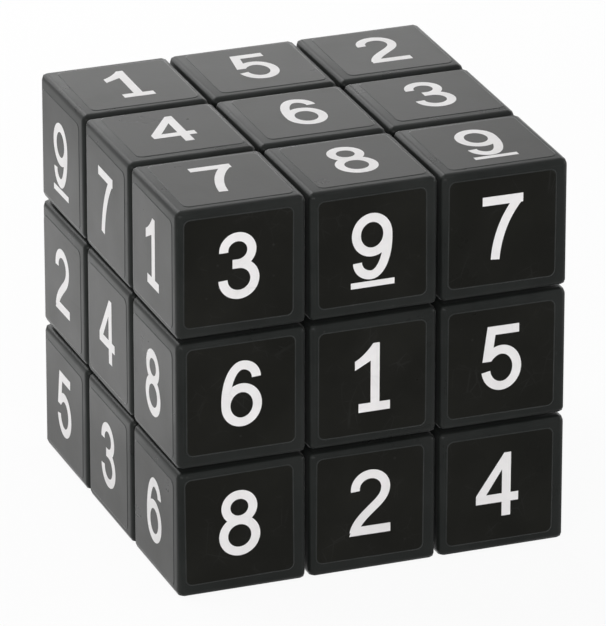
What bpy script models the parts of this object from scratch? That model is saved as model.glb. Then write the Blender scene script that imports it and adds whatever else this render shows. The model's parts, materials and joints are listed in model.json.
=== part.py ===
"""Sudoku cube: a three by three by three twisting number puzzle, modelled piece by piece.

Metres, +Z up. The origin is the middle of the cube, where the six turning axes meet, so every piece keeps
its object origin there. Front is -Y, left is -X and top is +Z.

The holding parts lie in a round shell. Outside it the layers part at flat planes between the cubies. Inside it
they part nearer the middle, so corner feet hook under the edges and edge feet hook under the face centres, while
every layer can still turn, because all of these surfaces are round about all six axes.
"""

import math
from itertools import combinations

import bmesh
import bpy
from mathutils import Matrix, Vector

# Outside sizes
CUBE_EDGE = 0.057
LAYER_GAP = 0.0004
EDGE_ROUND = 0.0009
ROUND_STEPS = 2
CUBIE = (CUBE_EDGE - 2 * LAYER_GAP) / 3
PITCH = CUBIE + LAYER_GAP

# Holding shell: the feet fill it, the pieces over them are hollowed to a slightly larger ball
FOOT_INNER = 0.0165
FOOT_OUTER = 0.0210
HOLD_BALL = 0.0217
FOOT_PLANE = 0.0062
RUN_GAP = 0.0002
SEAT_GAP = 0.0003
EDGE_NECK = 0.0060
EDGE_FOOT = 0.0057
PEG_RADIUS = 0.0018
PEG_START = 0.0188
PEG_END = 0.0270

# Core
HUB = 0.012
HUB_ROUND = 0.0015
ARM_RADIUS = 0.0044
ARM_END = 0.0105
PILOT_RADIUS = 0.0018
PILOT_END = 0.0040

# Face centre and its cap
BOSS_RADIUS = 0.0054
BOSS_BOTTOM = 0.0108
BOSS_TOP = 0.0225
WELL_RADIUS = 0.0041
WELL_FLOOR = 0.0128
SCREW_HOLE = 0.0019
SEAM = 0.0235
CAP_WALL = 0.0022
SPIGOT_OUTER = 0.0038
SPIGOT_INNER = 0.0028
SPIGOT_BOTTOM = 0.0223

# Screw, washer and spring on each arm
SHANK_RADIUS = 0.0015
SHANK_TIP = 0.0043
TIP_RADIUS = 0.0008
HEAD_RADIUS = 0.0034
HEAD_BOTTOM = 0.0195
HEAD_TOP = 0.0216
HEAD_DOME = 0.0005
RECESS_LENGTH = 0.0038
RECESS_WIDTH = 0.0007
RECESS_DEPTH = 0.0011
WASHER_OUTER = 0.0037
WASHER_INNER = 0.0019
WASHER_BOTTOM = 0.0186
WASHER_TOP = 0.0192
SPRING_RADIUS = 0.0029
WIRE_RADIUS = 0.0003
SPRING_BOTTOM = 0.0134
SPRING_TOP = 0.0180
SPRING_TURNS = 4
POINTS_PER_TURN = 9

# Facets
BALL_STEPS = 24
ROUND_FACETS = 20
SMALL_FACETS = 12
SMOOTH_ANGLE = math.radians(32)

FACES = {
    "top": Vector((0, 0, 1)),
    "bottom": Vector((0, 0, -1)),
    "front": Vector((0, -1, 0)),
    "back": Vector((0, 1, 0)),
    "left": Vector((-1, 0, 0)),
    "right": Vector((1, 0, 0)),
}


def clear_scene():
    for old in list(bpy.data.objects):
        bpy.data.objects.remove(old)


def make_material(name, colour, roughness, metallic=0.0):
    material = bpy.data.materials.new(name)
    material.use_nodes = True
    shader = material.node_tree.nodes["Principled BSDF"]
    shader.inputs["Base Color"].default_value = (*colour, 1)
    shader.inputs["Roughness"].default_value = roughness
    shader.inputs["Metallic"].default_value = metallic
    return material


def add_object(name, data):
    made = bpy.data.objects.new(name, data)
    bpy.context.scene.collection.objects.link(made)
    return made


def from_bmesh(name, bm):
    bmesh.ops.recalc_face_normals(bm, faces=bm.faces)
    mesh = bpy.data.meshes.new(name)
    bm.to_mesh(mesh)
    bm.free()
    return add_object(name, mesh)


def box(name, low, high, rounding=0.0):
    """A box between two corners, with every edge rounded if asked."""
    bm = bmesh.new()
    bmesh.ops.create_cube(bm, size=1)
    low = Vector(low)
    high = Vector(high)
    bmesh.ops.scale(bm, vec=high - low, verts=bm.verts)
    bmesh.ops.translate(bm, vec=(low + high) / 2, verts=bm.verts)
    if rounding:
        bmesh.ops.bevel(
            bm, geom=bm.edges[:], offset=rounding, segments=ROUND_STEPS, profile=0.5, affect="EDGES")
    return from_bmesh(name, bm)


def ball(name, radius):
    bm = bmesh.new()
    bmesh.ops.create_uvsphere(bm, u_segments=BALL_STEPS, v_segments=BALL_STEPS // 2, radius=radius)
    return from_bmesh(name, bm)


def turned(name, profile, facets):
    """Turn a profile of (radius, height) points about the Z axis."""
    bm = bmesh.new()
    points = [bm.verts.new((radius, 0, height)) for radius, height in profile]
    lines = [bm.edges.new(pair) for pair in zip(points, points[1:])]
    bmesh.ops.spin(
        bm, geom=points + lines, axis=(0, 0, 1), cent=(0, 0, 0), angle=math.tau, steps=facets, use_merge=True)
    bmesh.ops.remove_doubles(bm, verts=bm.verts, dist=1e-7)
    return from_bmesh(name, bm)


def rod(name, radius, low, high, facets):
    return turned(name, [(0, high), (radius, high), (radius, low), (0, low)], facets)


def ring(name, outer, inner, low, high, facets):
    return turned(name, [(outer, high), (outer, low), (inner, low), (inner, high), (outer, high)], facets)


def aim(made, direction):
    """Lay a piece made along Z along another direction through the origin, in its mesh."""
    made.data.transform(Vector(direction).to_track_quat("Z", "Y").to_matrix().to_4x4())
    return made


def combine(base, tool, operation):
    """Join, cut or intersect base with tool, and drop the tool."""
    step = base.modifiers.new(operation, "BOOLEAN")
    step.operation = operation
    step.solver = "EXACT"
    step.object = tool
    graph = bpy.context.evaluated_depsgraph_get()
    mesh = bpy.data.meshes.new_from_object(base.evaluated_get(graph))
    base.modifiers.clear()
    base.data = mesh
    bpy.data.objects.remove(tool)
    return base


def cut(base, tool):
    return combine(base, tool, "DIFFERENCE")


def join(base, tool):
    return combine(base, tool, "UNION")


def keep_inside(base, tool):
    return combine(base, tool, "INTERSECT")


def cubie_block(name, place):
    """One rounded cubie, at a place counted in cubies from the middle one."""
    middle = PITCH * Vector(place)
    half = Vector((CUBIE, CUBIE, CUBIE)) / 2
    return box(name, middle - half, middle + half, EDGE_ROUND)


def make_corner():
    """A corner cubie, hollowed over its foot, with the hole for the foot's peg."""
    corner = cubie_block("corner", (1, 1, 1))
    cut(corner, ball("foot_seat", FOOT_OUTER + SEAT_GAP))
    hole = rod("peg_hole", PEG_RADIUS + SEAT_GAP, PEG_START, PEG_END + SEAT_GAP, SMALL_FACETS)
    return cut(corner, aim(hole, (1, 1, 1)))


def make_corner_foot():
    """A corner's foot: a three-sided piece of the shell that reaches under three edges, on a round peg."""
    inner = FOOT_PLANE + RUN_GAP
    foot = box("corner_foot", (inner, inner, inner), (CUBIE + inner, CUBIE + inner, CUBIE + inner))
    keep_inside(foot, ball("foot_outside", FOOT_OUTER))
    cut(foot, ball("foot_inside", FOOT_INNER))
    peg = rod("peg", PEG_RADIUS, PEG_START, PEG_END, SMALL_FACETS)
    return join(foot, aim(peg, (1, 1, 1)))


def make_edge():
    """An edge cubie on the faces +Y and +Z: hollowed at both ends over the corner feet, with its own foot."""
    edge = cubie_block("edge", (0, 1, 1))
    hollow = ball("end_hollows", HOLD_BALL)
    cut(hollow, box("neck", (-EDGE_NECK, -CUBE_EDGE, -CUBE_EDGE), (EDGE_NECK, CUBE_EDGE, CUBE_EDGE)))
    cut(edge, hollow)
    inner = FOOT_PLANE + RUN_GAP
    foot = box("edge_foot", (-EDGE_FOOT, inner, inner), (EDGE_FOOT, CUBIE + inner, CUBIE + inner))
    keep_inside(foot, ball("foot_outside", FOOT_OUTER))
    join(edge, foot)
    return cut(edge, ball("foot_inside", FOOT_INNER))


def make_centre():
    """A face centre on +Z: a square head over the edge feet and a round boss with the screw's well."""
    centre = cubie_block("centre", (0, 0, 1))
    cut(centre, box("above_seam", (-CUBE_EDGE, -CUBE_EDGE, SEAM), (CUBE_EDGE, CUBE_EDGE, CUBE_EDGE)))
    cut(centre, ball("hold_ball", HOLD_BALL))
    join(centre, rod("boss", BOSS_RADIUS, BOSS_BOTTOM, BOSS_TOP, ROUND_FACETS))
    cut(centre, rod("well", WELL_RADIUS, WELL_FLOOR, CUBE_EDGE, ROUND_FACETS))
    return cut(centre, rod("screw_hole", SCREW_HOLE, 0, CUBE_EDGE, SMALL_FACETS))


def make_cap():
    """The cap that closes a face centre: a square lid with a ring that plugs into the well."""
    cap = cubie_block("cap", (0, 0, 1))
    seam = SEAM + SEAT_GAP
    cut(cap, box("below_seam", (-CUBE_EDGE, -CUBE_EDGE, 0), (CUBE_EDGE, CUBE_EDGE, seam)))
    half = CUBIE / 2 - CAP_WALL
    ceiling = CUBE_EDGE / 2 - CAP_WALL
    cut(cap, box("underside", (-half, -half, 0), (half, half, ceiling)))
    return join(cap, ring("spigot", SPIGOT_OUTER, SPIGOT_INNER, SPIGOT_BOTTOM, ceiling + SEAT_GAP, ROUND_FACETS))


def make_core():
    """The core: a rounded hub with six round arms, each with a pilot hole for its screw."""
    half = HUB / 2
    core = box("core", (-half, -half, -half), (half, half, half), HUB_ROUND)
    for axis in (FACES["top"], FACES["back"], FACES["right"]):
        join(core, aim(rod("arms", ARM_RADIUS, -ARM_END, ARM_END, ROUND_FACETS), axis))
    for axis in FACES.values():
        cut(core, aim(rod("pilot", PILOT_RADIUS, PILOT_END, CUBE_EDGE, SMALL_FACETS), axis))
    return core


def make_screw():
    """A pan-head screw along +Z with a cross recess."""
    profile = [
        (0, HEAD_TOP),
        (HEAD_RADIUS - HEAD_DOME, HEAD_TOP),
        (HEAD_RADIUS, HEAD_TOP - HEAD_DOME),
        (HEAD_RADIUS, HEAD_BOTTOM),
        (SHANK_RADIUS, HEAD_BOTTOM),
        (SHANK_RADIUS, SHANK_TIP + SHANK_RADIUS),
        (TIP_RADIUS, SHANK_TIP),
        (0, SHANK_TIP),
    ]
    screw = turned("screw", profile, SMALL_FACETS)
    long = RECESS_LENGTH / 2
    short = RECESS_WIDTH / 2
    floor = HEAD_TOP - RECESS_DEPTH
    for x, y in ((long, short), (short, long)):
        cut(screw, box("recess", (-x, -y, floor), (x, y, CUBE_EDGE)))
    return screw


def make_washer():
    return ring("washer", WASHER_OUTER, WASHER_INNER, WASHER_BOTTOM, WASHER_TOP, SMALL_FACETS)


def spring_points():
    count = SPRING_TURNS * POINTS_PER_TURN
    points = []
    for step in range(count + 1):
        angle = math.tau * step / POINTS_PER_TURN
        height = SPRING_BOTTOM + (SPRING_TOP - SPRING_BOTTOM) * step / count
        points.append(Vector((SPRING_RADIUS * math.cos(angle), SPRING_RADIUS * math.sin(angle), height)))
    return points


def make_spring():
    """A screw's spring: one unbroken round wire wound along +Z."""
    points = spring_points()
    apart = [
        (one - other).length
        for (first, one), (second, other) in combinations(enumerate(points), 2)
        if second - first > POINTS_PER_TURN / 2
    ]
    print(f"spring: least gap between turns {1000 * (min(apart) - 2 * WIRE_RADIUS):.2f} mm")
    curve = bpy.data.curves.new("spring", "CURVE")
    curve.dimensions = "3D"
    curve.bevel_depth = WIRE_RADIUS
    curve.bevel_resolution = 1
    curve.use_fill_caps = True
    line = curve.splines.new("POLY")
    line.points.add(len(points) - 1)
    for point, where in zip(line.points, points):
        point.co = (*where, 1)
    return add_object("spring", curve)


def basis(x, y, z):
    return Matrix((x, y, z)).transposed().to_4x4()


def face_turn(normal):
    """Turn from +Z to a face's outward normal."""
    across = FACES["right"] if normal.x == 0 else FACES["top"]
    return basis(across, normal.cross(across), normal)


def edge_turn(first, second):
    """Turn from the faces +Y and +Z to two faces that meet in an edge."""
    return basis(first.cross(second), first, second)


def corner_turn(first, second, third):
    """Turn from the faces +X, +Y and +Z to three faces that meet in a corner."""
    if first.cross(second).dot(third) < 0:
        second, third = third, second
    return basis(first, second, third)


def face_groups(count):
    """The sets of faces that meet at one cubie: pairs for the edges, threes for the corners."""
    for names in combinations(FACES, count):
        normals = [FACES[name] for name in names]
        if all(one.dot(other) == 0 for one, other in combinations(normals, 2)):
            yield "_".join(names), normals


def smooth(pattern):
    if pattern.type == "MESH":
        pattern.data.shade_smooth()
        pattern.data.set_sharp_from_angle(angle=SMOOTH_ANGLE)


def place_copies(pattern, material, turns):
    """Put a copy of a piece, sharing its mesh, at each named turn, and drop the piece it was made from."""
    smooth(pattern)
    pattern.data.materials.clear()
    pattern.data.materials.append(material)
    kind = pattern.data.name = pattern.name
    for name, turn in turns.items():
        copy = add_object(f"{kind}_{name}", pattern.data)
        copy.matrix_world = turn
    bpy.data.objects.remove(pattern)


def main():
    clear_scene()
    cubie_plastic = make_material("cubie_plastic", (0.022, 0.024, 0.025), 0.3)
    cap_plastic = make_material("cap_plastic", (0.022, 0.024, 0.025), 0.3)
    foot_plastic = make_material("foot_plastic", (0.03, 0.03, 0.03), 0.4)
    core_plastic = make_material("core_plastic", (0.75, 0.74, 0.70), 0.45)
    screw_steel = make_material("screw_steel", (0.55, 0.56, 0.58), 0.3, 1.0)
    washer_steel = make_material("washer_steel", (0.60, 0.60, 0.60), 0.35, 1.0)
    spring_steel = make_material("spring_steel", (0.50, 0.50, 0.52), 0.25, 1.0)

    faces = {name: face_turn(normal) for name, normal in FACES.items()}
    edges = {name: edge_turn(*normals) for name, normals in face_groups(2)}
    corners = {name: corner_turn(*normals) for name, normals in face_groups(3)}

    core = make_core()
    smooth(core)
    core.data.materials.append(core_plastic)
    place_copies(make_centre(), cubie_plastic, faces)
    place_copies(make_cap(), cap_plastic, faces)
    place_copies(make_screw(), screw_steel, faces)
    place_copies(make_washer(), washer_steel, faces)
    place_copies(make_spring(), spring_steel, faces)
    place_copies(make_edge(), cubie_plastic, edges)
    place_copies(make_corner(), cubie_plastic, corners)
    place_copies(make_corner_foot(), foot_plastic, corners)


main()
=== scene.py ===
"""Looks of the sudoku cube.

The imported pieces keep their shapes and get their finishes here. Each outer square also gets a thin
number label, which rides on the piece that carries it.
Lengths are in metres. The cube's middle is the origin, its front faces -Y and its top faces +Z.
"""

import json
import math
import random

import bmesh
import bpy
from mathutils import Matrix, Vector
from mathutils.geometry import delaunay_2d_cdt

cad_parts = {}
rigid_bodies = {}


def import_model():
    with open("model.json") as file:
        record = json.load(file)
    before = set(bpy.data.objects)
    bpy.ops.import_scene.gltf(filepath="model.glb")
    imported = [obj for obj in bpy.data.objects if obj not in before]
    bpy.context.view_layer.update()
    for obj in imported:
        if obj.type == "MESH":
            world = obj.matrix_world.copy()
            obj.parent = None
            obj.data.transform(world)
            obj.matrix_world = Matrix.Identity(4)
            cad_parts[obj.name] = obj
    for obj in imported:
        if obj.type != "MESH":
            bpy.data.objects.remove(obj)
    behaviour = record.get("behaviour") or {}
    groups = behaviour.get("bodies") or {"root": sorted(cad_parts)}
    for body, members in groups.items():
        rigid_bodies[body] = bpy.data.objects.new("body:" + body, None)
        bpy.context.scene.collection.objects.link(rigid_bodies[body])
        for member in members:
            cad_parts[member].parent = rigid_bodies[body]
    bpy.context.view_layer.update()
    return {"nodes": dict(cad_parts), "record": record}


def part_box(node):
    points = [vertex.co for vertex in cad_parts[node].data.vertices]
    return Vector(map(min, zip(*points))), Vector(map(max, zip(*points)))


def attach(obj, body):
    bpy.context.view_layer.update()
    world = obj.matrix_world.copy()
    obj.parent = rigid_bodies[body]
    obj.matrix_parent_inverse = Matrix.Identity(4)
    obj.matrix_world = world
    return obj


MM = 0.001

# Camera. The image is 606 by 626 pixels, and the focal length and shift are in its pixels.
IMAGE_WIDTH = 606
CAMERA_TURN = math.radians(-20.61)
CAMERA_RISE = math.radians(22.753)
CAMERA_DISTANCE = 1.0
FOCAL_PIXELS = 7133.5
SHIFT_PIXELS = (2.54, -8.85)
SENSOR_WIDTH = 36.0

# Stage
FLOOR_HALF = 4.0
FLOOR_CELLS = 8
FLOOR_WHITE_SHARE = 0.93
WORLD_LIGHT = 0.2
CARD_LIFT = 0.5 * MM

# A face's own directions to the right and up, as seen by someone who looks straight at it.
FACES = {
    "top": ((1, 0, 0), (0, 1, 0)),
    "bottom": ((1, 0, 0), (0, -1, 0)),
    "front": ((1, 0, 0), (0, 0, 1)),
    "back": ((-1, 0, 0), (0, 0, 1)),
    "left": ((0, -1, 0), (0, 0, 1)),
    "right": ((0, 1, 0), (0, 0, 1)),
}

# Numbers of each face, upper row first. The back, right and bottom rows are free choices.
NUMBERS = {
    "top": ("152", "463", "789"),
    "bottom": ("619", "572", "834"),
    "front": ("397", "615", "824"),
    "back": ("486", "197", "352"),
    "left": ("971", "248", "536"),
    "right": ("264", "859", "173"),
}

# Label film. A rim step is a rise, as a share of the thickness, and an inset, as a share of the rim.
LABEL_MARGIN = 1.42 * MM
LABEL_ROUND = 1.0 * MM
LABEL_THICK = 0.045 * MM
LABEL_SINK = 0.02 * MM
LABEL_RIM = 0.16 * MM
RIM_STEPS = ((0.2, 0.0), (0.7, 0.35), (1.0, 1.0))
ROUND_POINTS = 7

# The labels were put on by hand, so they sit a little off. Each face has its own drift, right and up.
LABEL_SEED = 28483
LABEL_PLAY = 0.5 * MM
LABEL_SCATTER = 0.35 * MM
LABEL_TILT = math.radians(0.7)
LABEL_DRIFT = {
    "top": (0.6 * MM, 0.3 * MM),
    "bottom": (-0.2 * MM, 0.2 * MM),
    "front": (-0.5 * MM, 0.3 * MM),
    "back": (0.2 * MM, -0.3 * MM),
    "left": (-0.3 * MM, -0.4 * MM),
    "right": (0.3 * MM, 0.2 * MM),
}

# A label's finishes, and the places of the last two in its list of materials.
LABEL_FINISHES = ("label_film", "label_cut_edge", "number_ink")
CUT_EDGE_PLACE = 1
INK_PLACE = 2

# Printed number, standing on the film
INK_THICK = 0.015 * MM
INK_SINK = 0.01 * MM

# Number strokes, in millimetres about the number's own middle
STROKE = 1.3
CURVE_STEPS = 12
NUMBER_RISE = 0.4
UNDERLINE_LENGTH = 6.35
UNDERLINE_WIDTH = 0.87
UNDERLINE_DROP = 5.52
SAME_POINT = 1e-3

# How a number's strokes become one sheet. Mode 1 keeps only the triangles inside them.
SHEET_MODE = 1
SHEET_TOLERANCE = 1e-5
FLAT_ANGLE = 0.001

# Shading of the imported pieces
WELD_DISTANCE = 0.001 * MM
SHARP_ANGLE = math.radians(50.0)
FLAT_FACE_WEIGHT = 60

# Colours. A pair runs from a surface's deepest tone to its palest.
CUBIE_BLACK = (0.0135, 0.0152, 0.0142, 1.0)
CUBIE_WORN = (0.031, 0.034, 0.033, 1.0)
FOOT_BLACK = (0.02, 0.02, 0.02, 1.0)
FOOT_WORN = (0.09, 0.09, 0.09, 1.0)
CORE_GREY = (0.06, 0.06, 0.06, 1.0)
CORE_WORN = (0.14, 0.14, 0.14, 1.0)
FILM_BLACK = ((0.003, 0.0031, 0.0018, 1.0), (0.0044, 0.0045, 0.0028, 1.0))
FILM_SCRATCHED = (0.3, 0.3, 0.3, 1.0)
# The cut edge's paler grey is partly its own tone and partly a painted highlight where the label's rim
# catches light
CUT_EDGE_GREY_AND_PAINTED_HIGHLIGHT = ((0.019, 0.021, 0.02, 1.0), (0.029, 0.031, 0.03, 1.0))
INK_WHITE = ((0.8, 0.785, 0.785, 1.0), (0.87, 0.855, 0.855, 1.0))
INK_SCRATCHED = (0.35, 0.35, 0.35, 1.0)
ZINC = (0.6, 0.6, 0.62, 1.0)
BRIGHT_STEEL = (0.66, 0.66, 0.66, 1.0)
SPRING_STEEL = (0.5, 0.5, 0.51, 1.0)
STEEL_WORN = (0.72, 0.72, 0.72, 1.0)
DUST = (0.5, 0.49, 0.47, 1.0)
FLOOR_PALE = ((0.86, 0.86, 0.86, 1.0), (0.9, 0.9, 0.9, 1.0))
WHITE = (1.0, 1.0, 1.0, 1.0)

# Deepest tone of a plastic or steel, as a share of its colour
PLASTIC_DEEP_TONE = 0.75
STEEL_DEEP_TONE = 0.72

# Wear and dust, as shares of the colour
RUBBED_SHARE = 0.5
PLASTIC_DUST_SHARE = 0.025
FILM_DUST_SHARE = 0.02
FILM_SCRATCH_SHARE = 0.02
INK_SCRATCH_SHARE = 0.12

# Roughness, from the smoothest spots to the dullest
CUBIE_ROUGHNESS = (0.26, 0.36)
FOOT_ROUGHNESS = (0.4, 0.55)
CORE_ROUGHNESS = (0.45, 0.6)
FILM_ROUGHNESS = (0.27, 0.36)
CUT_EDGE_ROUGHNESS = (0.28, 0.45)
INK_ROUGHNESS = (0.4, 0.55)
ZINC_ROUGHNESS = (0.24, 0.38)
BRIGHT_ROUGHNESS = (0.18, 0.3)
SPRING_ROUGHNESS = (0.28, 0.42)
FLOOR_ROUGHNESS = 0.9

# What wear adds to the roughness
RUBBED_DULLNESS = 0.12
PLASTIC_SCRATCH_DULLNESS = 0.08
FILM_SCRATCH_DULLNESS = 0.06
STEEL_SCRATCH_DULLNESS = 0.2

# Gloss: the index of refraction, the sheen and the floor's weak reflection
OUTER_INDEX = 1.2
INNER_INDEX = 1.45
INK_INDEX = 1.35
FILM_SHEEN = 0.36
CUBIE_SHEEN = 0.12
SHEEN_ROUGHNESS = 0.3
FLOOR_SPECULAR = 0.1

# Fine surface. The hairlines' depth is a share of the grain's, and bare cells of the dust hold no speck.
PRINT_DEPTH = 0.003 * MM
CUBIE_DEPTH = 0.004 * MM
INNER_DEPTH = 0.008 * MM
STEEL_DEPTH = 0.004 * MM
GRAIN_SPAN = (0.2, 0.8)
HAIRLINE_DEPTH = 0.12
HAIRLINE_STRETCH = 0.05
HAIRLINE_TURNS = ((0.5, 0.3, 0.9), (-0.6, 0.8, -0.4))
BARE_CELLS = 0.9

# Places of the mix node's colour sockets, because its sockets share their names
MIX_SHARE = 0
MIX_FIRST = 6
MIX_SECOND = 7
MIX_RESULT = 2


def clear_scene():
    for thing in list(bpy.data.objects):
        bpy.data.objects.remove(thing)


def add_object(name, data):
    made = bpy.data.objects.new(name, data)
    bpy.context.scene.collection.objects.link(made)
    return made


# Node helpers


def make(tree, kind, inputs=None, **settings):
    """Adds a node. An input's value is a number, a colour or the socket that feeds it."""
    made = tree.nodes.new(kind)
    for name, value in settings.items():
        setattr(made, name, value)
    for name, value in (inputs or {}).items():
        socket = made.inputs[name]
        if isinstance(value, bpy.types.NodeSocket):
            tree.links.new(value, socket)
        else:
            socket.default_value = value
    return made


def maths(tree, operation, first, second, clamp=False):
    worked = make(tree, "ShaderNodeMath", {0: first, 1: second}, operation=operation, use_clamp=clamp)
    return worked.outputs[0]


def weaken(tree, mask, share):
    return maths(tree, "MULTIPLY", mask, share)


def spread(tree, value, low, high, to_low=0.0, to_high=1.0):
    """Stretches a value's range and holds it at the ends."""
    inputs = {"Value": value, "From Min": low, "From Max": high, "To Min": to_low, "To Max": to_high}
    return make(tree, "ShaderNodeMapRange", inputs).outputs["Result"]


def tint(tree, share, first, second):
    """Mixes two colours by a share."""
    inputs = {MIX_SHARE: share, MIX_FIRST: first, MIX_SECOND: second}
    return make(tree, "ShaderNodeMix", inputs, data_type="RGBA").outputs[MIX_RESULT]


def own_place(tree):
    """A point's place in the piece's own space."""
    return make(tree, "ShaderNodeTexCoord").outputs["Object"]


def noise(tree, place, scale, detail):
    """A soft random pattern, about 0 to 1."""
    pattern = make(tree, "ShaderNodeTexNoise", {"Vector": place, "Scale": scale, "Detail": detail})
    return pattern.outputs["Fac"]


def clouds(tree, place, scale, detail, low, high):
    """Patches that fade from 0 to 1 while a soft random pattern rises from low to high."""
    return spread(tree, noise(tree, place, scale, detail), low, high)


def deeper(colour, share):
    return tuple(share * part for part in colour[:3]) + (1.0,)


def start_group(name, inputs, outputs):
    group = bpy.data.node_groups.new(name, "ShaderNodeTree")
    for title, default in inputs.items():
        socket = group.interface.new_socket(title, in_out="INPUT", socket_type="NodeSocketFloat")
        socket.default_value = default
    for title in outputs:
        group.interface.new_socket(title, in_out="OUTPUT", socket_type="NodeSocketFloat")
    entry = group.nodes.new("NodeGroupInput")
    leave = group.nodes.new("NodeGroupOutput")
    return group, entry.outputs, leave.inputs


def use_group(tree, group, **values):
    """Places a group. Underscores in the value names stand for spaces in the socket names."""
    placed = make(tree, "ShaderNodeGroup", node_tree=group)
    for name, value in values.items():
        placed.inputs[name.replace("_", " ")].default_value = value
    return placed.outputs


# Effects that several finishes share


def grain_group():
    """Moulded grain: a fine height and a slow cloud, both about 0 to 1."""
    inputs = {"Grain Scale": 2500.0, "Cloud Scale": 160.0}
    tree, given, out = start_group("moulded_grain", inputs, ("Height", "Cloud"))
    place = own_place(tree)
    fine = noise(tree, place, given["Grain Scale"], detail=3.0)
    cloud = clouds(tree, place, given["Cloud Scale"], detail=4.0, low=0.3, high=0.7)
    tree.links.new(fine, out["Height"])
    tree.links.new(cloud, out["Cloud"])
    return tree


def wear_group():
    """Handling wear on outer edges: a broken mask that is 1 where an edge is rubbed most."""
    inputs = {"Reach": 0.6 * MM, "Patch Scale": 420.0}
    tree, given, out = start_group("edge_wear", inputs, ("Mask",))
    rounded = make(tree, "ShaderNodeBevel", {"Radius": given["Reach"]}, samples=6).outputs["Normal"]
    flat = make(tree, "ShaderNodeNewGeometry").outputs["True Normal"]
    likeness = make(tree, "ShaderNodeVectorMath", {0: rounded, 1: flat}, operation="DOT_PRODUCT")
    edge = spread(tree, likeness.outputs["Value"], low=0.99, high=0.86)
    broken = clouds(tree, own_place(tree), given["Patch Scale"], detail=5.0, low=0.38, high=0.66)
    tree.links.new(maths(tree, "MULTIPLY", edge, broken), out["Mask"])
    return tree


def hairline_group():
    """Hairline scratches from handling, in two crossing directions: a mask of thin broken lines."""
    inputs = {"Line Scale": 300.0, "Thinness": 0.02}
    tree, given, out = start_group("hairlines", inputs, ("Mask",))
    place = own_place(tree)
    masks = []
    for turn in HAIRLINE_TURNS:
        drawn_out = {"Vector": place, "Rotation": turn, "Scale": (1.0, HAIRLINE_STRETCH, 1.0)}
        stretched = make(tree, "ShaderNodeMapping", drawn_out).outputs["Vector"]
        cut_up = {"Vector": stretched, "Scale": given["Line Scale"]}
        cells = make(tree, "ShaderNodeTexVoronoi", cut_up, feature="DISTANCE_TO_EDGE")
        line = spread(tree, cells.outputs["Distance"], 0.0, given["Thinness"], to_low=1.0, to_high=0.0)
        masks.append(line)
    both = maths(tree, "MAXIMUM", *masks)
    broken = clouds(tree, place, scale=240.0, detail=2.0, low=0.5, high=0.68)
    tree.links.new(maths(tree, "MULTIPLY", both, broken), out["Mask"])
    return tree


def dust_group():
    """Settled dust: sparse specks on a thin uneven film."""
    inputs = {"Speck Scale": 700.0, "Film": 0.3}
    tree, given, out = start_group("dust", inputs, ("Mask",))
    place = own_place(tree)
    cells = make(tree, "ShaderNodeTexVoronoi", {"Vector": place, "Scale": given["Speck Scale"]})
    speck = spread(tree, cells.outputs["Distance"], low=0.05, high=0.16, to_low=1.0, to_high=0.0)
    pick = make(tree, "ShaderNodeSeparateColor", {"Color": cells.outputs["Color"]}).outputs["Red"]
    chosen = maths(tree, "MULTIPLY", speck, maths(tree, "GREATER_THAN", pick, BARE_CELLS))
    cloud = clouds(tree, place, scale=120.0, detail=5.0, low=0.42, high=0.72)
    film = maths(tree, "MULTIPLY", cloud, given["Film"])
    tree.links.new(maths(tree, "MAXIMUM", chosen, film), out["Mask"])
    return tree


def make_groups():
    return {
        "grain": grain_group(),
        "wear": wear_group(),
        "hairlines": hairline_group(),
        "dust": dust_group(),
    }


# Finishes


def start_finish(name):
    finish = bpy.data.materials.new(name)
    finish.use_nodes = True
    tree = finish.node_tree
    shader = tree.nodes["Principled BSDF"]
    return finish, tree, shader


def feed(tree, shader, colour, roughness, height, depth):
    """Links what changes over the surface: colour, roughness and a fine height."""
    bump = make(tree, "ShaderNodeBump", {"Height": height, "Distance": depth})
    tree.links.new(colour, shader.inputs["Base Color"])
    tree.links.new(roughness, shader.inputs["Roughness"])
    tree.links.new(bump.outputs["Normal"], shader.inputs["Normal"])


def set_gloss(shader, index, sheen=0.0):
    """Sets what is the same all over the surface."""
    shader.inputs["IOR"].default_value = index
    shader.inputs["Sheen Weight"].default_value = sheen
    shader.inputs["Sheen Roughness"].default_value = SHEEN_ROUGHNESS


def moulded_plastic(name, groups, colour, worn, rough_range, depth):
    """A moulded plastic with grain, rubbed edges, hairlines and a little dust. Its gloss comes later."""
    finish, tree, shader = start_finish(name)
    grain = use_group(tree, groups["grain"])
    rubbed = use_group(tree, groups["wear"])["Mask"]
    lines = use_group(tree, groups["hairlines"])["Mask"]
    dust = use_group(tree, groups["dust"])["Mask"]
    base = tint(tree, grain["Cloud"], deeper(colour, PLASTIC_DEEP_TONE), colour)
    base = tint(tree, weaken(tree, rubbed, RUBBED_SHARE), base, worn)
    base = tint(tree, weaken(tree, dust, PLASTIC_DUST_SHARE), base, DUST)
    rough = spread(tree, grain["Cloud"], 0.0, 1.0, *rough_range)
    rough = maths(tree, "ADD", rough, weaken(tree, rubbed, RUBBED_DULLNESS))
    rough = maths(tree, "ADD", rough, weaken(tree, lines, PLASTIC_SCRATCH_DULLNESS), clamp=True)
    height = maths(tree, "SUBTRACT", grain["Height"], weaken(tree, lines, HAIRLINE_DEPTH))
    feed(tree, shader, base, rough, height, depth)
    return finish, shader


def outer_plastic(name, groups):
    """The glossy black plastic of the cubies and the caps."""
    finish, shader = moulded_plastic(name, groups, CUBIE_BLACK, CUBIE_WORN, CUBIE_ROUGHNESS, CUBIE_DEPTH)
    set_gloss(shader, OUTER_INDEX, CUBIE_SHEEN)
    return finish


def inner_plastic(name, groups, colour, worn, rough_range):
    """The duller plastic of the feet and the core."""
    finish, shader = moulded_plastic(name, groups, colour, worn, rough_range, INNER_DEPTH)
    set_gloss(shader, INNER_INDEX)
    return finish


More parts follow.
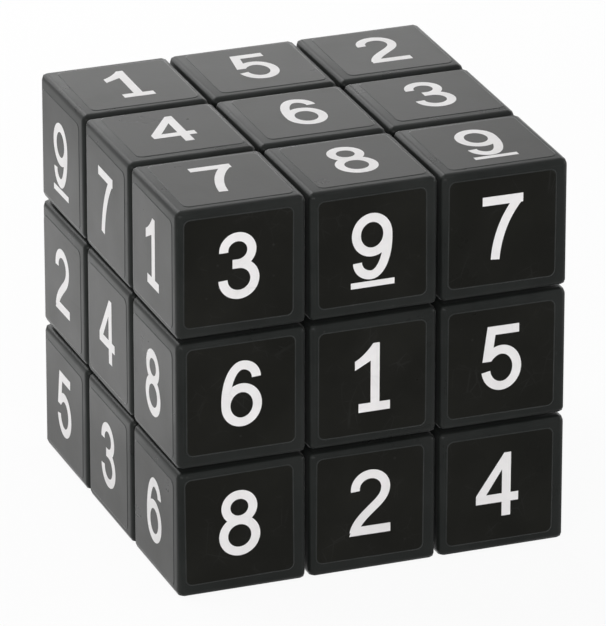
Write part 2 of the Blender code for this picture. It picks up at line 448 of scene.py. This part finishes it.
def label_film(groups):
    """Satin black printed film: a faint orange-peel surface, uneven ink, hairlines and dust."""
    finish, tree, shader = start_finish("label_film")
    grain = use_group(tree, groups["grain"], Grain_Scale=1500.0, Cloud_Scale=110.0)
    lines = use_group(tree, groups["hairlines"], Line_Scale=220.0)["Mask"]
    dust = use_group(tree, groups["dust"], Speck_Scale=620.0, Film=0.25)["Mask"]
    base = tint(tree, grain["Cloud"], *FILM_BLACK)
    base = tint(tree, weaken(tree, lines, FILM_SCRATCH_SHARE), base, FILM_SCRATCHED)
    base = tint(tree, weaken(tree, dust, FILM_DUST_SHARE), base, DUST)
    rough = spread(tree, grain["Cloud"], 0.0, 1.0, *FILM_ROUGHNESS)
    rough = maths(tree, "ADD", rough, weaken(tree, lines, FILM_SCRATCH_DULLNESS), clamp=True)
    height = maths(tree, "SUBTRACT", grain["Height"], weaken(tree, lines, HAIRLINE_DEPTH))
    feed(tree, shader, base, rough, height, PRINT_DEPTH)
    set_gloss(shader, OUTER_INDEX, FILM_SHEEN)
    return finish


def label_cut_edge(groups):
    """The film's cut edge, a little paler than its printed face: partly its own tone, partly a painted
    highlight where the rim catches light.
    """
    finish, tree, shader = start_finish("label_cut_edge")
    grain = use_group(tree, groups["grain"], Grain_Scale=3200.0, Cloud_Scale=500.0)
    # Paler base: partly the edge's own tone, partly a painted highlight of the lit rim
    base = tint(tree, grain["Cloud"], *CUT_EDGE_GREY_AND_PAINTED_HIGHLIGHT)
    rough = spread(tree, grain["Height"], *GRAIN_SPAN, *CUT_EDGE_ROUGHNESS)
    feed(tree, shader, base, rough, grain["Height"], PRINT_DEPTH)
    set_gloss(shader, OUTER_INDEX, FILM_SHEEN)
    return finish


def number_ink(groups):
    """Thick white screen ink: a slightly mottled tone and a fine dry surface."""
    finish, tree, shader = start_finish("number_ink")
    grain = use_group(tree, groups["grain"], Grain_Scale=2100.0, Cloud_Scale=260.0)
    lines = use_group(tree, groups["hairlines"], Line_Scale=220.0)["Mask"]
    base = tint(tree, grain["Cloud"], *INK_WHITE)
    base = tint(tree, weaken(tree, lines, INK_SCRATCH_SHARE), base, INK_SCRATCHED)
    rough = spread(tree, grain["Height"], *GRAIN_SPAN, *INK_ROUGHNESS)
    feed(tree, shader, base, rough, grain["Height"], PRINT_DEPTH)
    set_gloss(shader, INK_INDEX)
    return finish


def turned_steel(name, groups, colour, rough_range):
    """Plated steel with fine drawing lines, a cloudy tone and rubbed edges."""
    finish, tree, shader = start_finish(name)
    grain = use_group(tree, groups["grain"], Grain_Scale=3800.0, Cloud_Scale=700.0)
    lines = use_group(tree, groups["hairlines"], Line_Scale=900.0, Thinness=0.06)["Mask"]
    rubbed = use_group(tree, groups["wear"], Reach=0.25 * MM)["Mask"]
    base = tint(tree, grain["Cloud"], deeper(colour, STEEL_DEEP_TONE), colour)
    base = tint(tree, weaken(tree, rubbed, RUBBED_SHARE), base, STEEL_WORN)
    rough = spread(tree, grain["Height"], *GRAIN_SPAN, *rough_range)
    rough = maths(tree, "ADD", rough, weaken(tree, lines, STEEL_SCRATCH_DULLNESS), clamp=True)
    height = maths(tree, "ADD", grain["Height"], lines)
    feed(tree, shader, base, rough, height, STEEL_DEPTH)
    shader.inputs["Metallic"].default_value = 1.0
    return finish


def make_finishes():
    """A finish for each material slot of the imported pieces, and the three of a label."""
    groups = make_groups()
    return {
        "cubie_plastic": outer_plastic("cubie_plastic_black", groups),
        "cap_plastic": outer_plastic("cap_plastic_black", groups),
        "foot_plastic": inner_plastic("foot_plastic_black", groups, FOOT_BLACK, FOOT_WORN, FOOT_ROUGHNESS),
        "core_plastic": inner_plastic("core_plastic_grey", groups, CORE_GREY, CORE_WORN, CORE_ROUGHNESS),
        "screw_steel": turned_steel("screw_steel_zinc", groups, ZINC, ZINC_ROUGHNESS),
        "washer_steel": turned_steel("washer_steel_bright", groups, BRIGHT_STEEL, BRIGHT_ROUGHNESS),
        "spring_steel": turned_steel("spring_steel_drawn", groups, SPRING_STEEL, SPRING_ROUGHNESS),
        "label_film": label_film(groups),
        "label_cut_edge": label_cut_edge(groups),
        "number_ink": number_ink(groups),
    }


# Number shapes, in millimetres about the number's own middle


def arc(centre, across, tall, start, end):
    """Points along an upright ellipse, with angles in degrees."""
    steps = max(2, round(abs(end - start) / 90.0 * CURVE_STEPS))
    points = []
    for step in range(steps + 1):
        angle = math.radians(start + (end - start) * step / steps)
        points.append(Vector((centre[0] + across * math.cos(angle), centre[1] + tall * math.sin(angle))))
    return points


def bend(first, pull_first, pull_last, last):
    """Points along a curve that leaves its first point towards one pull and arrives from the other."""
    a, b, c, d = (Vector(point) for point in (first, pull_first, pull_last, last))
    points = []
    for step in range(CURVE_STEPS + 1):
        t = step / CURVE_STEPS
        s = 1.0 - t
        points.append(s * s * s * a + 3 * s * s * t * b + 3 * s * t * t * c + t * t * t * d)
    return points


def joined(*stretches):
    """One run of points, without the repeated ones where stretches meet."""
    run = []
    for stretch in stretches:
        for point in stretch:
            point = Vector(point)
            if not run or (point - run[-1]).length > SAME_POINT:
                run.append(point)
    return run


def stroke(run, width=STROKE, closed=False):
    """A line of even width: its corner points and its four-sided pieces."""
    count = len(run)
    points = []
    for place, point in enumerate(run):
        ways = []
        if closed or place > 0:
            ways.append((point - run[place - 1]).normalized())
        if closed or place < count - 1:
            ways.append((run[(place + 1) % count] - point).normalized())
        way = sum(ways, Vector((0.0, 0.0))).normalized()
        side = Vector((-way.y, way.x)) * (0.5 * width / way.dot(ways[0]))
        points += [point + side, point - side]
    pieces = []
    for place in range(count if closed else count - 1):
        following = (place + 1) % count
        pieces.append((2 * place, 2 * place + 1, 2 * following + 1, 2 * following))
    return points, pieces


def ring(centre, across, tall):
    return stroke(arc(centre, across, tall, 0, 360)[:-1], closed=True)


def bar(left, right, height, width=STROKE):
    return stroke([Vector((left, height)), Vector((right, height))], width)


def patch(*corners):
    """A filled shape with straight sides, anticlockwise."""
    return [Vector(corner) for corner in corners], [tuple(range(len(corners)))]


def draw_one():
    top = 5.05
    tip = -2.55
    foot = -top + STROKE
    stem_left = -0.25
    stem_right = stem_left + STROKE
    flag = bend((0.1, top), (-0.45, 4.25), (-1.4, 3.2), (tip, 2.65))
    under = [(tip, 1.3), (stem_left, 2.5), (stem_left, foot)]
    head = patch((stem_right, foot), (stem_right, top), *flag, *under)
    return [head, bar(-2.0, 2.6, -top + STROKE / 2)]


def draw_two():
    bottom = -4.85
    waist = (0.3, -0.92)
    hook = arc((0.05, 2.08), 2.24, 2.12, 187, 0)
    shoulder = bend((2.29, 2.08), (2.29, 0.6), (1.1, -0.2), waist)
    slope = bend(waist, (-0.7, -1.82), (-2.1, -2.9), (-2.38, -4.45))
    foot = patch((-3.03, bottom), (3.03, bottom), (3.03, bottom + STROKE), (-2.6, bottom + STROKE))
    return [stroke(joined(hook, shoulder, slope)), foot]


def draw_three():
    middle = (-0.88, 0.27)
    upper = arc((-0.13, 2.23), 2.02, 1.96, 185, -90)
    lower = arc((0.04, -1.97), 2.29, 2.24, 90, -180)
    return [stroke(joined(upper, [middle])), stroke(joined([middle], lower))]


def draw_four():
    top = 4.77
    peak = (0.65, top)
    stem_left = 0.35
    stem_right = stem_left + STROKE
    bar_left = -3.5
    bar_top = -1.35
    stem = patch((stem_left, -top), (stem_right, -top), (stem_right, top), peak, (stem_left, 4.33))
    slope = patch(peak, (bar_left, bar_top), (-2.0, bar_top), (stem_left, 2.3))
    return [stem, slope, bar(bar_left, 2.8, bar_top - STROKE / 2)]


def draw_five():
    top = 4.78
    stem_foot = -0.42
    stem = patch((-2.06, top), (-2.77, stem_foot), (-1.42, stem_foot), (-0.72, top))
    rise = bend((-1.95, 0.0), (-1.45, 0.72), (-0.75, 1.2), (0.03, 1.2))
    bowl = arc((0.03, -1.5), 2.3, 2.7, 90, -171)
    return [bar(-1.9, 2.6, top - STROKE / 2), stem, stroke(joined(rise, bowl))]


def draw_six():
    back = arc((0.2, -1.1), 2.43, 5.3, 192, 90)
    hook = arc((0.2, 2.25), 2.0, 1.95, 90, 0)
    return [ring((0.07, -1.66), 2.28, 2.52), stroke(joined(back, hook))]


def draw_seven():
    slope = bend((2.4, 4.0), (0.6, 2.0), (-0.8, -1.2), (-1.0, -4.66))
    return [bar(-2.95, 3.0, 4.01), stroke(slope)]


def draw_eight():
    return [ring((0.0, 2.32), 1.96, 1.9), ring((0.0, -1.93), 2.34, 2.33)]


def draw_nine():
    """The six turned half round, with a line under it that tells the two apart."""
    turned = [([-point for point in points], pieces) for points, pieces in draw_six()]
    line = bar(-UNDERLINE_LENGTH / 2, UNDERLINE_LENGTH / 2, -UNDERLINE_DROP, UNDERLINE_WIDTH)
    return turned + [line]


DRAWINGS = {
    "1": draw_one,
    "2": draw_two,
    "3": draw_three,
    "4": draw_four,
    "5": draw_five,
    "6": draw_six,
    "7": draw_seven,
    "8": draw_eight,
    "9": draw_nine,
}


def number_sheet(number):
    """The number as flat triangles that don't overlap, in millimetres about the label's middle."""
    points = []
    pieces = []
    for new_points, new_pieces in DRAWINGS[number]():
        start = len(points)
        points += [point + Vector((0.0, NUMBER_RISE)) for point in new_points]
        pieces += [tuple(start + corner for corner in piece) for piece in new_pieces]
    sheet = delaunay_2d_cdt(points, [], pieces, SHEET_MODE, SHEET_TOLERANCE)
    corners, _, triangles, _, _, sources = sheet
    return corners, [triangle for triangle, source in zip(triangles, sources) if source]


# Labels


def rounded_square(half, radius):
    """Points round a square with round corners, anticlockwise."""
    points = []
    inner = half - radius
    for quarter, (x, y) in enumerate(((1, 1), (-1, 1), (-1, -1), (1, -1))):
        for step in range(ROUND_POINTS):
            angle = math.radians(90.0 * (quarter + step / (ROUND_POINTS - 1)))
            points.append((x * inner + radius * math.cos(angle), y * inner + radius * math.sin(angle)))
    return points


def add_film(mesh, half):
    """The label's film with a rounded-over cut rim. Its underside sits just inside the plastic."""
    levels = [(-LABEL_SINK, 0.0)]
    levels += [(rise * LABEL_THICK, inset * LABEL_RIM) for rise, inset in RIM_STEPS]
    rings = []
    for height, inset in levels:
        outline = rounded_square(half - inset, LABEL_ROUND - inset)
        rings.append([mesh.verts.new((x, y, height)) for x, y in outline])
    count = len(rings[0])
    for level, (lower, upper) in enumerate(zip(rings, rings[1:])):
        for place in range(count):
            following = (place + 1) % count
            wall = mesh.faces.new((lower[place], lower[following], upper[following], upper[place]))
            wall.material_index = CUT_EDGE_PLACE
            wall.smooth = level > 0
    mesh.faces.new(rings[-1])
    mesh.faces.new(rings[0][::-1])


def add_number(mesh, number):
    """The printed number, standing a hair above the film."""
    points, triangles = number_sheet(number)
    sheet = bmesh.new()
    level = LABEL_THICK - INK_SINK
    corners = [sheet.verts.new((point.x * MM, point.y * MM, level)) for point in points]
    for triangle in triangles:
        sheet.faces.new([corners[corner] for corner in triangle])
    bmesh.ops.dissolve_limit(sheet, angle_limit=FLAT_ANGLE, verts=sheet.verts, edges=sheet.edges)
    raised = bmesh.ops.extrude_face_region(sheet, geom=sheet.faces[:], use_keep_orig=True)["geom"]
    lift = [part for part in raised if isinstance(part, bmesh.types.BMVert)]
    bmesh.ops.translate(sheet, verts=lift, vec=(0.0, 0.0, INK_SINK + INK_THICK))
    bmesh.ops.recalc_face_normals(sheet, faces=sheet.faces[:])
    for face in sheet.faces:
        face.material_index = INK_PLACE
    passing = bpy.data.meshes.new("number_passing")
    sheet.to_mesh(passing)
    sheet.free()
    mesh.from_mesh(passing)
    bpy.data.meshes.remove(passing)


def label_mesh(number, half):
    mesh = bmesh.new()
    add_film(mesh, half)
    add_number(mesh, number)
    made = bpy.data.meshes.new("label_" + number)
    mesh.to_mesh(made)
    mesh.free()
    return made


def face_normal(face):
    right, up = FACES[face]
    return Vector(right).cross(Vector(up))


def face_towards(direction):
    return max(FACES, key=lambda face: face_normal(face).dot(direction))


def carrier(face, column, row):
    """The body under a square. Column and row are -1, 0 or 1 from the face's middle."""
    right, up = (Vector(way) for way in FACES[face])
    touched = {face}
    if column:
        touched.add(face_towards(right * column))
    if row:
        touched.add(face_towards(up * row))
    kind = ("centre", "edge", "corner")[len(touched) - 1]
    return "_".join([kind] + [name for name in FACES if name in touched])


def hand_placed(face, hand):
    """A label's own shift and tilt on its square, kept clear of the square's rounded edges."""
    shift = []
    for drift in LABEL_DRIFT[face]:
        wanted = drift + hand.uniform(-LABEL_SCATTER, LABEL_SCATTER)
        shift.append(max(-LABEL_PLAY, min(LABEL_PLAY, wanted)))
    tilt = hand.uniform(-LABEL_TILT, LABEL_TILT)
    return Matrix.Translation((shift[0], shift[1], 0.0)) @ Matrix.Rotation(tilt, 4, "Z")


def add_label(name, shape, body, finishes):
    label = add_object(name, shape)
    for finish in LABEL_FINISHES:
        shape.materials.append(finishes[finish])
    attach(label, body)


def make_labels(finishes, half_cube, cubie, pitch):
    """A label on each outer square. All labels with one number start as copies of its pattern."""
    hand = random.Random(LABEL_SEED)
    half = cubie / 2 - LABEL_MARGIN
    patterns = {number: label_mesh(number, half) for number in DRAWINGS}
    for face, rows in NUMBERS.items():
        right, up = (Vector(way) for way in FACES[face])
        normal = face_normal(face)
        turn = Matrix((right, up, normal)).transposed().to_4x4()
        for place, row in enumerate((1, 0, -1)):
            for column in (-1, 0, 1):
                middle = normal * half_cube + right * column * pitch + up * row * pitch
                shape = patterns[rows[place][column + 1]].copy()
                shape.transform(Matrix.Translation(middle) @ turn @ hand_placed(face, hand))
                name = f"label_{face}_{place + 1}{column + 2}"
                add_label(name, shape, carrier(face, column, row), finishes)
    for pattern in patterns.values():
        bpy.data.meshes.remove(pattern)


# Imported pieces


def finish_nodes(nodes, finishes, slots):
    """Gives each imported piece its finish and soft, evenly shaded rounded edges."""
    for name, piece in nodes.items():
        piece.data.materials.clear()
        piece.data.materials.append(finishes[slots[name]])
        piece.data.shade_smooth()
        weld = piece.modifiers.new("joined_corners", "WELD")
        weld.merge_threshold = WELD_DISTANCE
        split = piece.modifiers.new("sharp_edges", "EDGE_SPLIT")
        split.split_angle = SHARP_ANGLE
        split.use_edge_sharp = False
        shade = piece.modifiers.new("flat_faces_first", "WEIGHTED_NORMAL")
        shade.mode = "FACE_AREA"
        shade.weight = FLAT_FACE_WEIGHT
        shade.keep_sharp = False


# Stage


def background_rays(tree):
    """1 for rays that show or mirror the white background, 0 for rays that light the cube."""
    path = make(tree, "ShaderNodeLightPath").outputs
    shown = maths(tree, "MAXIMUM", path["Is Camera Ray"], path["Is Glossy Ray"])
    return maths(tree, "MAXIMUM", shown, path["Is Transmission Ray"])


def floor_paint():
    """Pale studio floor, shown and mirrored mostly as plain white, with the cube's soft shadow kept."""
    finish, tree, shader = start_finish("floor_paint")
    cloud = noise(tree, own_place(tree), scale=9.0, detail=4.0)
    tree.links.new(tint(tree, cloud, *FLOOR_PALE), shader.inputs["Base Color"])
    shader.inputs["Roughness"].default_value = FLOOR_ROUGHNESS
    shader.inputs["Specular IOR Level"].default_value = FLOOR_SPECULAR
    white = make(tree, "ShaderNodeEmission", {"Color": WHITE, "Strength": 1.0}).outputs["Emission"]
    share = weaken(tree, background_rays(tree), FLOOR_WHITE_SHARE)
    mixed = make(tree, "ShaderNodeMixShader", {0: share, 1: shader.outputs["BSDF"], 2: white})
    tree.links.new(mixed.outputs["Shader"], tree.nodes["Material Output"].inputs["Surface"])
    return finish


def make_floor(level):
    mesh = bmesh.new()
    bmesh.ops.create_grid(mesh, x_segments=FLOOR_CELLS, y_segments=FLOOR_CELLS, size=FLOOR_HALF)
    bmesh.ops.translate(mesh, verts=mesh.verts, vec=(0.0, 0.0, level))
    data = bpy.data.meshes.new("floor")
    mesh.to_mesh(data)
    mesh.free()
    data.materials.append(floor_paint())
    add_object("floor", data)


def looking_along(way):
    """The turn of a camera or lamp that points in a direction."""
    return way.to_track_quat("-Z", "Y").to_matrix().to_4x4()


def softbox(name, place, width, tall, brightness, aim=(0.0, 0.0, 0.0)):
    """A flat soft light, aimed at the cube unless told otherwise.

    Brightness is its power for each square metre, divided by pi.
    """
    data = bpy.data.lights.new(name, "AREA")
    data.shape = "RECTANGLE"
    data.size = width
    data.size_y = tall
    data.energy = brightness * math.pi * width * tall
    lamp = add_object(name, data)
    place = Vector(place)
    lamp.matrix_world = Matrix.Translation(place) @ looking_along(Vector(aim) - place)


def make_lights(floor_level):
    """Softboxes round the cube, and a glowing card that lies on the floor and shines up."""
    softbox("softbox_front", (-0.48, -1.07, 0.4), width=1.2, tall=0.65, brightness=3.75)
    softbox("softbox_above", (0.0, 0.001, 1.6), width=2.0, tall=2.0, brightness=0.15)
    softbox("softbox_back_left", (-0.6, 0.5, 0.6), width=0.5, tall=0.5, brightness=3.2)
    softbox("softbox_behind", (-0.15, 0.75, 0.55), width=0.6, tall=0.4, brightness=3.4)
    softbox("softbox_right", (1.28, -0.22, 0.35), width=1.2, tall=0.65, brightness=2.8)
    softbox("softbox_low_back", (0.0, 0.38, 0.106), width=0.38, tall=0.07, brightness=3.5)
    card = Vector((-0.062, 0.08, floor_level + CARD_LIFT))
    above_card = card + Vector((0.0, 0.0, 1.0))
    softbox("card_behind_left", card, width=0.05, tall=0.11, brightness=0.5, aim=above_card)


def make_world():
    """White where it is seen or mirrored, and a weak even light on the cube."""
    world = bpy.data.worlds.new("studio_white")
    bpy.context.scene.world = world
    world.use_nodes = True
    tree = world.node_tree
    strength = spread(tree, background_rays(tree), 0.0, 1.0, to_low=WORLD_LIGHT)
    sky = tree.nodes["Background"]
    sky.inputs["Color"].default_value = WHITE
    tree.links.new(strength, sky.inputs["Strength"])


def make_camera():
    level = math.cos(CAMERA_RISE)
    sideways = math.sin(CAMERA_TURN) * level
    forwards = -math.cos(CAMERA_TURN) * level
    away = Vector((sideways, forwards, math.sin(CAMERA_RISE)))
    data = bpy.data.cameras.new("camera")
    data.sensor_fit = "HORIZONTAL"
    data.sensor_width = SENSOR_WIDTH
    data.lens = FOCAL_PIXELS * SENSOR_WIDTH / IMAGE_WIDTH
    data.shift_x, data.shift_y = (pixels / IMAGE_WIDTH for pixels in SHIFT_PIXELS)
    camera = add_object("camera", data)
    camera.matrix_world = Matrix.Translation(away * CAMERA_DISTANCE) @ looking_along(-away)
    bpy.context.scene.camera = camera


def main():
    clear_scene()
    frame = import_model()
    corner_low, corner_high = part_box("corner_top_back_right")
    half_cube = corner_high.x
    cubie = corner_high.x - corner_low.x
    pitch = half_cube - cubie / 2
    slots = {part["node"]: part["material_slot"] for part in frame["record"]["subparts"]}
    finishes = make_finishes()
    finish_nodes(frame["nodes"], finishes, slots)
    make_labels(finishes, half_cube, cubie, pitch)
    floor_level = -half_cube - LABEL_THICK - INK_THICK
    make_floor(floor_level)
    make_lights(floor_level)
    make_world()
    make_camera()
    bpy.context.scene.view_settings.view_transform = "Standard"


main()
